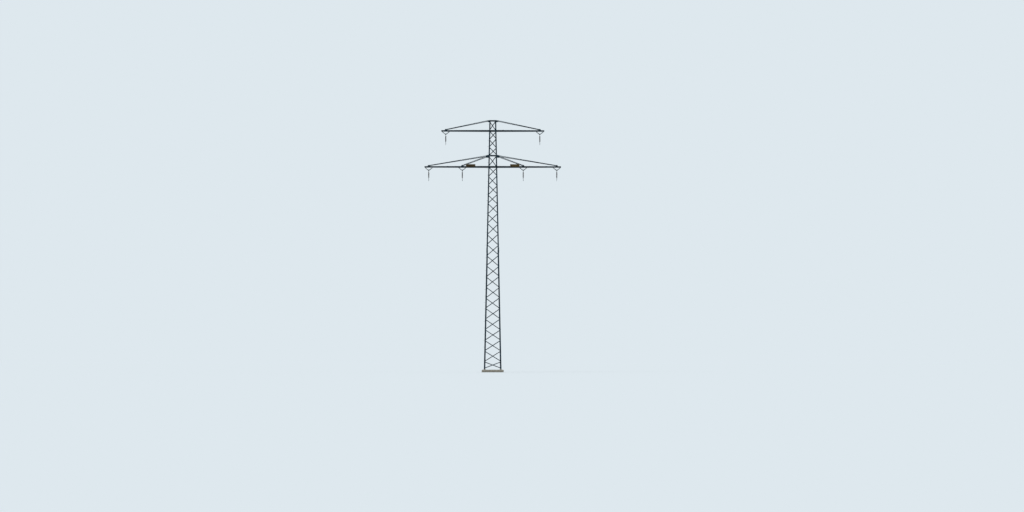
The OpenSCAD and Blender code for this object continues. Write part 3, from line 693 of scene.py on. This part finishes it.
def step_bolts():
    """Climbing steps up the back left leg, evenly spaced on its two faces in turn
    where no joint is in the way: a rod with a round stop at its end and a nut on both
    sides of the flange."""
    first, spacing, inset = 2.6, 0.38, 0.026
    rod = revolve([(0.008, -0.040), (0.008, 0.150), (0.015, 0.151), (0.016, 0.155),
                   (0.013, 0.159), (0.004, 0.161)], 10)
    nuts = join(prism(0.024, 0.0005, 0.013, 0.0015),
                moved(prism(0.024, 0.0, 0.013, 0.0015), (0, 0, -leg_low_t), upside_down))
    z = np.arange(first, mast_h - 0.4, spacing)
    busy = ((splice_z, splice_len / 2 + 0.05), (upper_z, 0.12), (lower_z, 0.12),
            (root_plate_z, 0.22), (top_z - 0.02, 0.18))
    free = np.all([np.abs(z - middle) > reach for middle, reach in busy], axis=0)
    z = z[free]
    faces = np.arange(len(z)) % 2
    parts = []
    for k, sign in ((3, -1), (2, 1)):
        own = z[faces == k - 2]
        flat = np.column_stack([sign * (half(own) - inset), 0 * own, own / cos(lean)])
        parts.append(repeated(join(rod, nuts), on_side(k, flat), outward(1)[k]))
    return join(*parts)


for name, part in {"bracing_bolts_lower": bracing_bolts(True),
                   "bracing_bolts_upper": bracing_bolts(False),
                   "splice_bolts": splice_bolts(),
                   "frame_bolts": join(frame_bolts(), plan_bolts()),
                   "crossarm_leg_bolts": leg_bolts(),
                   "tie_root_bolts": root_bolts(),
                   "hanger_bolts": hanger_bolts()}.items():
    piece(name, part, painted_zinc, "mast")
piece("climbing_steps", step_bolts(), painted_zinc, "mast", smooth=40)
for name, side in (("left", -1), ("right", 1)):
    for arm, z, reach, ties in (("upper", upper_z, upper_reach, [upper_tie]),
                                ("lower", lower_z, lower_reach, [inner_tie, outer_tie])):
        piece(f"{arm}_arm_bolts_{name}", arm_bolts(z, reach, ties, side), painted_zinc, "mast")


# Foot of the mast

def block_body():
    """Cast block as rings of a rounded square. Up the sides each 100 mm form board
    stands in or out by up to 1.2 mm and waves by 1.5 mm along its length. The edge
    is bevelled, and the top falls 6 mm from the middle to the edge."""
    w, h, edge, form = block_w / 2 - 0.003, block_h, 0.060, 0.100
    profile = [(w, 0.0, 0)]
    for board in range(3):
        low, high = form * board, min(form * (board + 1), h - edge)
        profile += [(w, low + 0.002, board + 1), (w, high - 0.002, board + 1), (w - 0.003, high, 0)]
    profile += [(w - 0.004, h - edge + 0.004, 0), (w - edge + 0.004, h - 0.006, 0),
                (w - edge - 0.010, h - 0.004, 0)]
    profile += [(size, h - 0.004 * (size / w) ** 2, 0) for size in np.linspace(w - 0.16, 0.05, 9)]
    width, height, board = np.array(profile).T
    ring = oval(1.0, 1.0, 60, 256)
    t = np.arctan2(ring[:, 1], ring[:, 0])
    wave = 0.0015 * np.sin(5 * t + 2.1 * board[:, None])
    step = np.array([0.0, 0.0012, -0.0010, 0.0006])[board.astype(int)][:, None]
    spread = width[:, None] + np.where(board[:, None] > 0, wave + step, 0)
    x, y = spread * ring[:, 0], spread * ring[:, 1]
    top = height[:, None] > h - 0.007
    sag = np.where(top, 0.0015 * np.sin(4.1 * x + 1) * np.cos(3.3 * y + 0.5) - 0.0015, 0)
    return loft(np.stack([x, y, height[:, None] + sag], -1))


def mortar_collars():
    """Haunched mortar round each leg's foot: rings of a rounded square that shrink
    as they rise, swollen by 4% in three waves round the foot."""
    width = np.array([0.160, 0.156, 0.138, 0.118, 0.104, 0.096, 0.083, 0.020])[:, None]
    height = np.array([-0.012, 0.001, 0.010, 0.022, 0.036, 0.047, 0.052, 0.055])[:, None]
    middle = half(block_h) - leg_low_w / 2
    ring = oval(1.0, 1.0, 7, 72)
    t = np.arange(len(ring)) * 2 * pi / len(ring)
    fade = np.linspace(1, 0, len(width))[:, None]
    parts = []
    for number, (sx, sy) in enumerate(((-1, -1), (1, -1), (1, 1), (-1, 1))):
        swell = 1 + 0.04 * np.sin(3 * t + 1.7 * number) * fade
        x = sx * middle + width * swell * ring[:, 0]
        y = sy * middle + width * swell * ring[:, 1]
        z = block_h + height + 0.003 * np.sin(2 * t + number)
        parts.append(loft(np.stack([x, y, z], -1)))
    return join(*parts)


def earth_strap():
    """Flat bar of 30 by 4 mm carried down the front right leg, over mortar and block
    and down to the ground, with its two bolts."""
    x, y = half(0.55) + 0.003, -half(0.55) + 0.085
    path = rounded([[x - 0.002, y, 0.760], [x + 0.009, y, 0.385], [x + 0.036, y, block_h + 0.038],
                    [x + 0.115, y, block_h + 0.004], [block_w / 2 - 0.056, y, block_h - 0.001],
                    [block_w / 2 + 0.003, y, block_h - 0.066], [block_w / 2 + 0.003, y, 0.001]],
                   0.022, 6)
    strap = sweep(path, flat_bar(0.030, 0.004), (0, 1, 0))
    places = np.array([[x + 0.003, y, 0.725], [x + 0.0045, y, 0.655]])
    return join(strap, repeated(bolt(m12, leg_low_t + 0.004), places, (1, 0, 0)))


piece("cast_block", block_body(), concrete, "mast", smooth=30,
      replaces=["foundation_block"])
piece("mortar_collars", mortar_collars(), mortar, "mast", smooth=60)
piece("earth_strap", earth_strap(), zinc, "mast", smooth=30)


# Marker boards

board_l, board_h, board_rim = 1.120, 0.300, 0.025
board_drop, board_stand, board_x = 0.080, 0.003, 2.630
foot_x, foot_t = 0.358, 0.005


def tray_outline(inset):
    """Rectangle with corners of 16 mm radius, moved inwards: quarter circles of
    radius R - inset, with even points along the straight sides between them."""
    r = 0.016
    a, b = board_l / 2 - r, board_h / 2 - r
    bends = []
    for k, corner in enumerate(((a, b), (-a, b), (-a, -b), (a, -b))):
        turn = np.linspace(0, pi / 2, 6)[:, None] + k * pi / 2
        bends.append(corner + (r - inset) * np.hstack([np.cos(turn), np.sin(turn)]))
    line = []
    for k, count in enumerate((27, 9, 27, 9)):
        start, end = bends[k][-1], bends[(k + 1) % 4][0]
        line += [bends[k], start + np.linspace(0, 1, count)[1:-1, None] * (end - start)]
    return np.concatenate(line)


def tray():
    """Folded sheet tray: rings of its outline from the middle of the front, out over
    a 3 mm bend, back along the rim, in along a 12 mm hem and over the inside to the
    middle of the back. The sheet is crowned by 2 mm times (1-(x/a)²)(1-(z/b)²)."""
    outline = tray_outline(0.0)
    a, b = board_l / 2, board_h / 2
    shares = (0.03, 0.25, 0.5, 0.72, 0.88, 0.97)
    rim = ((0.0030, 0.0), (0.0009, 0.0009), (0.0, 0.003), (0.0, 0.0225), (0.0007, 0.0243),
           (0.0025, 0.025), (0.012, 0.025), (0.012, 0.0225), (0.0040, 0.0225),
           (0.0030, 0.0215), (0.0030, 0.0050), (0.0045, 0.0032))
    rings = [(outline * share, -0.002, 0.0) for share in shares]
    rings += [(tray_outline(inset), 0.0, depth) for inset, depth in rim]
    rings += [(outline * share, -0.002, 0.0030) for share in shares[::-1]]
    points, swell, depth = [np.array(column) for column in zip(*rings)]
    x, z = points[..., 0], points[..., 1]
    y = depth[:, None] + swell[:, None] * (1 - (x / a) ** 2) * (1 - (z / b) ** 2)
    return loft(np.stack([x, y, z - board_drop + b], -1)[:, ::-1])


def tray_feet():
    """Two feet of bent flat bar, 40 by 5 mm: forwards over the channel, round a
    10 mm bend and up behind the sheet."""
    back = board_rim + board_stand + 0.7 * chan_b
    line = rounded([[0, back, foot_t / 2], [0, 0.0056, foot_t / 2], [0, 0.0056, 0.150]],
                   0.010, 6)
    foot = sweep(line, flat_bar(0.040, foot_t), (1, 0, 0))
    return join(moved(foot, (-foot_x, 0, 0)), moved(foot, (foot_x, 0, 0)))


def board_bolts():
    """Dome heads on the front of the sheet over the feet, their nuts behind, and a
    bolt through each foot and the channel's upper flange."""
    dome = revolve([(0.0085, 0.0), (0.0084, 0.0012), (0.0070, 0.0030), (0.0040, 0.0043),
                    (0.0008, 0.0047)], 14)
    x, z = np.meshgrid([-foot_x, foot_x], [0.045, 0.120])
    a, b = board_l / 2, board_h / 2
    swell = 0.002 * (1 - (x / a) ** 2) * (1 - ((z + board_drop - b) / b) ** 2)
    front = np.stack([x, -swell + 0.0003, z], -1).reshape(-1, 3)
    hole = board_rim + board_stand + chan_b / 2
    stand = np.array([[-foot_x, hole, foot_t], [foot_x, hole, foot_t]])
    nuts = np.stack([x, 0 * x + 0.0085, z], -1).reshape(-1, 3)
    return join(repeated(dome, front, (0, -1, 0)),
                repeated(prism(0.013, 0.0, 0.0065, 0.001), nuts, (0, 1, 0)),
                repeated(bolt(m10, foot_t + chan_flange), stand, (0, 0, 1)))


arm_turn = atan(arm_y(3.0, lower_z, lower_reach) - arm_y(4.0, lower_z, lower_reach))
board_y = -arm_y(board_x, lower_z, lower_reach) - chan_b - board_rim - board_stand
for name, side in (("left", -1), ("right", 1)):
    t = side * arm_turn
    axes = ((cos(t), sin(t), 0), (-sin(t), cos(t), 0), (0, 0, 1))
    place = (side * board_x, board_y, board_foot + seat)
    piece("board_tray_" + name, moved(tray(), place, axes), enamel, "mast",
          smooth=35, replaces=["marker_board_" + name])
    piece("board_feet_" + name, moved(tray_feet(), place, axes), zinc, "mast",
          smooth=35)
    piece("board_bolts_" + name, moved(board_bolts(), place, axes), painted_zinc, "mast",
          smooth=30)


# Insulator strings, each about its pin

rod_d, shed_d, rod_len, sheds, rod_end = 0.084, 0.174, 0.650, 11, 0.020
cap_face, low_face, clamp_z = -0.168, -0.818, -1.201


def porcelain_rod():
    """Core with eleven even sheds, turned about Z: each shed, given by radius and
    share of the pitch, droops outwards under a sloping roof, and every corner is
    rounded as glaze leaves it."""
    pitch = (rod_len - 2 * rod_end) / sheds
    core, rim = rod_d / 2, shed_d / 2
    shed = np.array([(core, 0.34), (core + 0.012, 0.285), (rim - 0.005, 0.17), (rim, 0.20),
                     (rim - 0.001, 0.31), (core + 0.007, 0.62), (core, 0.84)])
    cut = [0.004, 0.004, 0.002, 0.0015, 0.0018, 0.008, 0.006]
    number = np.arange(sheds)[:, None]
    body = np.stack([shed[:, 0] + 0 * number, rod_end + (number + shed[:, 1]) * pitch], -1)
    corners = np.concatenate([[[core, 0.0]], body.reshape(-1, 2), [[core, rod_len]]])
    cuts = np.concatenate([[0.002], np.tile(cut, sheds), [0.002]])
    profile = rounded(corners, cuts, 3)
    return moved(revolve(profile, 48), (0, 0, low_face))


def cement_rings():
    """Cement between porcelain and cap: a hollow fillet just proud of each cap."""
    core = rod_d / 2
    fillet = np.array([(core - 0.002, -0.004), (core + 0.005, -0.001), (core + 0.0055, 0.003),
                       (core - 0.002, 0.003)])
    upper = revolve(fillet, 40, closed=True)
    lower = moved(upper, (0, 0, low_face), upside_down)
    return join(moved(upper, (0, 0, cap_face)), lower)


def bell_cap():
    """Forged cap turned about Z, its lip at z = 0: a beaded lip, a straight skirt and
    a shoulder that runs up into the shank."""
    line = rounded([(0.0440, 0.004), (0.0440, 0.0), (0.0500, 0.0), (0.0500, 0.009),
                    (0.0480, 0.012), (0.0480, 0.036), (0.0420, 0.050), (0.0260, 0.064),
                    (0.0235, 0.072), (0.0180, 0.075), (0.0170, 0.092)],
                   0.0014, 3)
    return revolve(line, 36)


def upright(line, y=0.0):
    """Points (x, y, z) at one depth y of a line given as (x, z)."""
    line = np.asarray(line, float)
    return np.column_stack([line[:, 0], np.full(len(line), y), line[:, 1]])


def plate(outline, low, high):
    """Plate square to Y: its outline in x and z from one depth to another, drawn in
    towards its middle by 1.5 mm at both faces."""
    cut = 0.0015
    middle = outline.mean(0)
    reach = np.linalg.norm(outline - middle, axis=1, keepdims=True)
    small = middle + (outline - middle) * (1 - cut / reach)
    rings = [(small, low), (outline, low + cut), (outline, high - cut), (small, high)]
    return loft([upright(line, y)[::-1] for line, y in rings])


def round_end(radius, height, way):
    """Half circle about that height, from the right side over the top where way is 1
    and from the left side round the bottom where it is -1."""
    turn = np.linspace(0, pi, 9)
    return way * radius * np.stack([np.cos(turn), np.sin(turn)], -1) + (0, height)


def upper_fitting():
    """Clevis on its pin and the cap under it: two cheeks with round heads, a forged
    root that narrows into the shank, and the bolt that is the pin."""
    cheek = np.concatenate([round_end(0.024, 0.0, 1), [[-0.0235, -0.030], [-0.022, -0.068],
                                                      [0.022, -0.068], [0.0235, -0.030]]])
    root = [np.column_stack([oval(a, b, power, 32), np.full(32, z)])
            for a, b, power, z in ((0.017, 0.017, 2.2, -0.094), (0.019, 0.0172, 2.6, -0.088),
                                   (0.0225, 0.0176, 5, -0.081), (0.0240, 0.0180, 8, -0.074),
                                   (0.0240, 0.0180, 8, -0.066), (0.0225, 0.0165, 8, -0.0635))]
    pin = moved(revolve([(0.011, -0.019), (0.011, 0.019)], 20),
                axes=((1, 0, 0), (0, 0, 1), (0, -1, 0)))
    return join(plate(cheek, 0.008, 0.018), plate(cheek, -0.018, -0.008), loft(root), pin,
                repeated(bolt(m22, 0.036), [[0, -0.018, 0]], (0, -1, 0)),
                moved(bell_cap(), (0, 0, cap_face)))


def lower_fitting():
    """Cap under the porcelain, its flat tongue between two link straps, and the lug
    of the clamp's hanger at their lower end."""
    tongue = np.concatenate([round_end(0.020, -0.922, -1), [[0.0170, -0.896],
                                                          [-0.0170, -0.896]]])
    lug = np.concatenate([round_end(0.019, -1.120, 1), [[-0.0200, -1.152], [0.0200, -1.152]]])
    strap = np.concatenate([round_end(0.0235, -0.9275, 1), round_end(0.0235, -1.1225, -1)])
    bolts = repeated(bolt(m16, 0.032), [[0, -0.016, -0.9225], [0, -0.016, -1.1205]],
                     (0, -1, 0))
    return join(moved(bell_cap(), (0, 0, low_face), upside_down),
                plate(tongue, -0.008, 0.008), plate(lug, -0.0078, 0.0078),
                plate(strap, 0.008, 0.016), plate(strap, -0.016, -0.008), bolts)


def suspension_clamp():
    """Boat-shaped clamp, its bore along Y at the origin: outer rings whose depth
    falls as y² towards the ends, then rings of the bore, which flares as y⁶ at both
    mouths. A keeper lies on it under two U-bolts, and a bent strap holds it by its
    trunnions."""
    y = np.linspace(-0.095, 0.095, 21)
    share = (y / 0.095) ** 2
    ring = oval(1.0, 1.0, 2.6, 32)
    low = 0.0210 - 0.0055 * share
    high = 0.0150 - 0.0010 * share
    x = (0.0210 - 0.0035 * share)[:, None] * ring[:, 0]
    z = np.where(ring[:, 1] < 0, low[:, None], high[:, None]) * ring[:, 1]
    outer = np.stack([x, y[:, None] + 0 * x, z], -1)
    hole = circle(1.0, 32)
    bore = 0.0110 + 0.0028 * share ** 3
    inner = np.stack([bore[:, None] * hole[:, 0], y[:, None] + 0 * x,
                      bore[:, None] * hole[:, 1]], -1)
    boat = loft(np.concatenate([outer, inner[::-1]])[:, ::-1], closed=True)
    y = np.linspace(-0.052, 0.052, 11)
    lift = 0.003 * (y / 0.052) ** 2
    top = oval(0.0165, 0.0060, 3, 24)
    keeper = loft(np.stack([top[:, 0] + 0 * y[:, None], y[:, None] + 0 * top[:, 0],
                            top[:, 1] + 0.0165 + lift[:, None]], -1)[:, ::-1])
    over = np.linspace(0, pi, 9)
    arch = np.stack([0.0165 * np.cos(over), 0.012 + 0.0150 * np.sin(over)], -1)
    bow = np.concatenate([[[0.0165, -0.027]], arch, [[-0.0165, -0.027]]])
    nuts = repeated(prism(0.017, 0.0, 0.009, 0.001), [[0.0165, 0, -0.013], [-0.0165, 0, -0.013]],
                    (0, 0, -1))
    u_bolt = join(sweep(upright(bow), circle(0.0048, 8), (0, 1, 0)), nuts)
    strap = rounded([[-0.0240, -0.013], [-0.0245, 0.049], [0.0245, 0.049], [0.0240, -0.013]],
                    0.011, 6)
    bent = sweep(upright(strap), flat_bar(0.040, 0.008), (0, 1, 0))
    trunnion = revolve([(0.0095, 0.0), (0.0095, 0.0125), (0.0070, 0.0150)], 16)
    ends = repeated(trunnion, [[0.0185, 0, 0], [-0.0185, 0, 0]], [[1, 0, 0], [-1, 0, 0]])
    return join(boat, keeper, moved(u_bolt, (0, 0.029, 0)), moved(u_bolt, (0, -0.029, 0)),
                bent, ends)


whole_fitting = join(upper_fitting(), lower_fitting(), moved(suspension_clamp(), (0, 0, clamp_z)))
for body, pin in pins.items():
    piece(body + "_forgings", moved(whole_fitting, pin), zinc, body, smooth=38,
          replaces=[body + "_fittings"])
    piece(body + "_sheds", moved(porcelain_rod(), pin), glaze, body, smooth=50,
          replaces=[body + "_insulator"])
    piece(body + "_cement", moved(cement_rings(), pin), mortar, body, smooth=50)


# Floor, light and camera

backdrop = "#dee8ee"


def studio():
    """A pale floor without an edge and soft light from all round. The floor's colour
    is the backdrop's, and that light and the sun together light a level face to it."""
    round_share = 0.60
    sun_height, sun_side, sun_width = radians(48), radians(-38), radians(25)
    reach = 4000.0
    ground = bpy.data.meshes.new("floor")
    ground.from_pydata([(-reach, -reach, 0), (reach, -reach, 0), (reach, reach, 0),
                        (-reach, reach, 0)], [], [(0, 1, 2, 3)])
    floor = bpy.data.objects.new("floor", ground)
    scene.collection.objects.link(floor)
    material, tree, _ = finish("pale_floor")
    matt = add(tree, "BsdfDiffuse", {"Color": colour(backdrop)})
    add(tree, "OutputMaterial", links={"Surface": matt.outputs[0]})
    ground.materials.append(material)

    world = bpy.data.worlds.new("studio")
    scene.world = world
    world.use_nodes = True
    tree = world.node_tree
    tree.nodes.clear()
    path = add(tree, "LightPath")
    seen = add(tree, "Math", {"operation": "MAXIMUM"},
               {0: path.outputs["Is Camera Ray"], 1: path.outputs["Is Glossy Ray"]})
    shown = add(tree, "Math", {"operation": "MAXIMUM"},
                {0: seen.outputs[0], 1: path.outputs["Is Transmission Ray"]})
    soft = add(tree, "Background", {"Color": (1, 1, 1, 1), "Strength": round_share})
    back = add(tree, "Background", {"Color": colour(backdrop)})
    both = add(tree, "MixShader", links={0: shown.outputs[0], 1: soft.outputs[0],
                                         2: back.outputs[0]})
    add(tree, "OutputWorld", links={"Surface": both.outputs[0]})

    lamp = bpy.data.lights.new("sun", "SUN")
    lamp.energy = (1 - round_share) * pi / sin(sun_height)
    lamp.angle = sun_width
    sun = bpy.data.objects.new("sun", lamp)
    sun.rotation_euler = (pi / 2 - sun_height, 0, sun_side)
    scene.collection.objects.link(sun)


studio()
lens = bpy.data.cameras.new("camera")
lens.lens = lens_mm
lens.sensor_width = 36.0
lens.clip_start = 1.0
lens.clip_end = 6000.0
camera = bpy.data.objects.new("camera", lens)
camera.location = (0, -eye_distance, eye_height)
camera.rotation_euler = (pi / 2 + pitch_up, 0, -turn_right)
scene.collection.objects.link(camera)
scene.camera = camera
scene.view_settings.view_transform = "Standard"
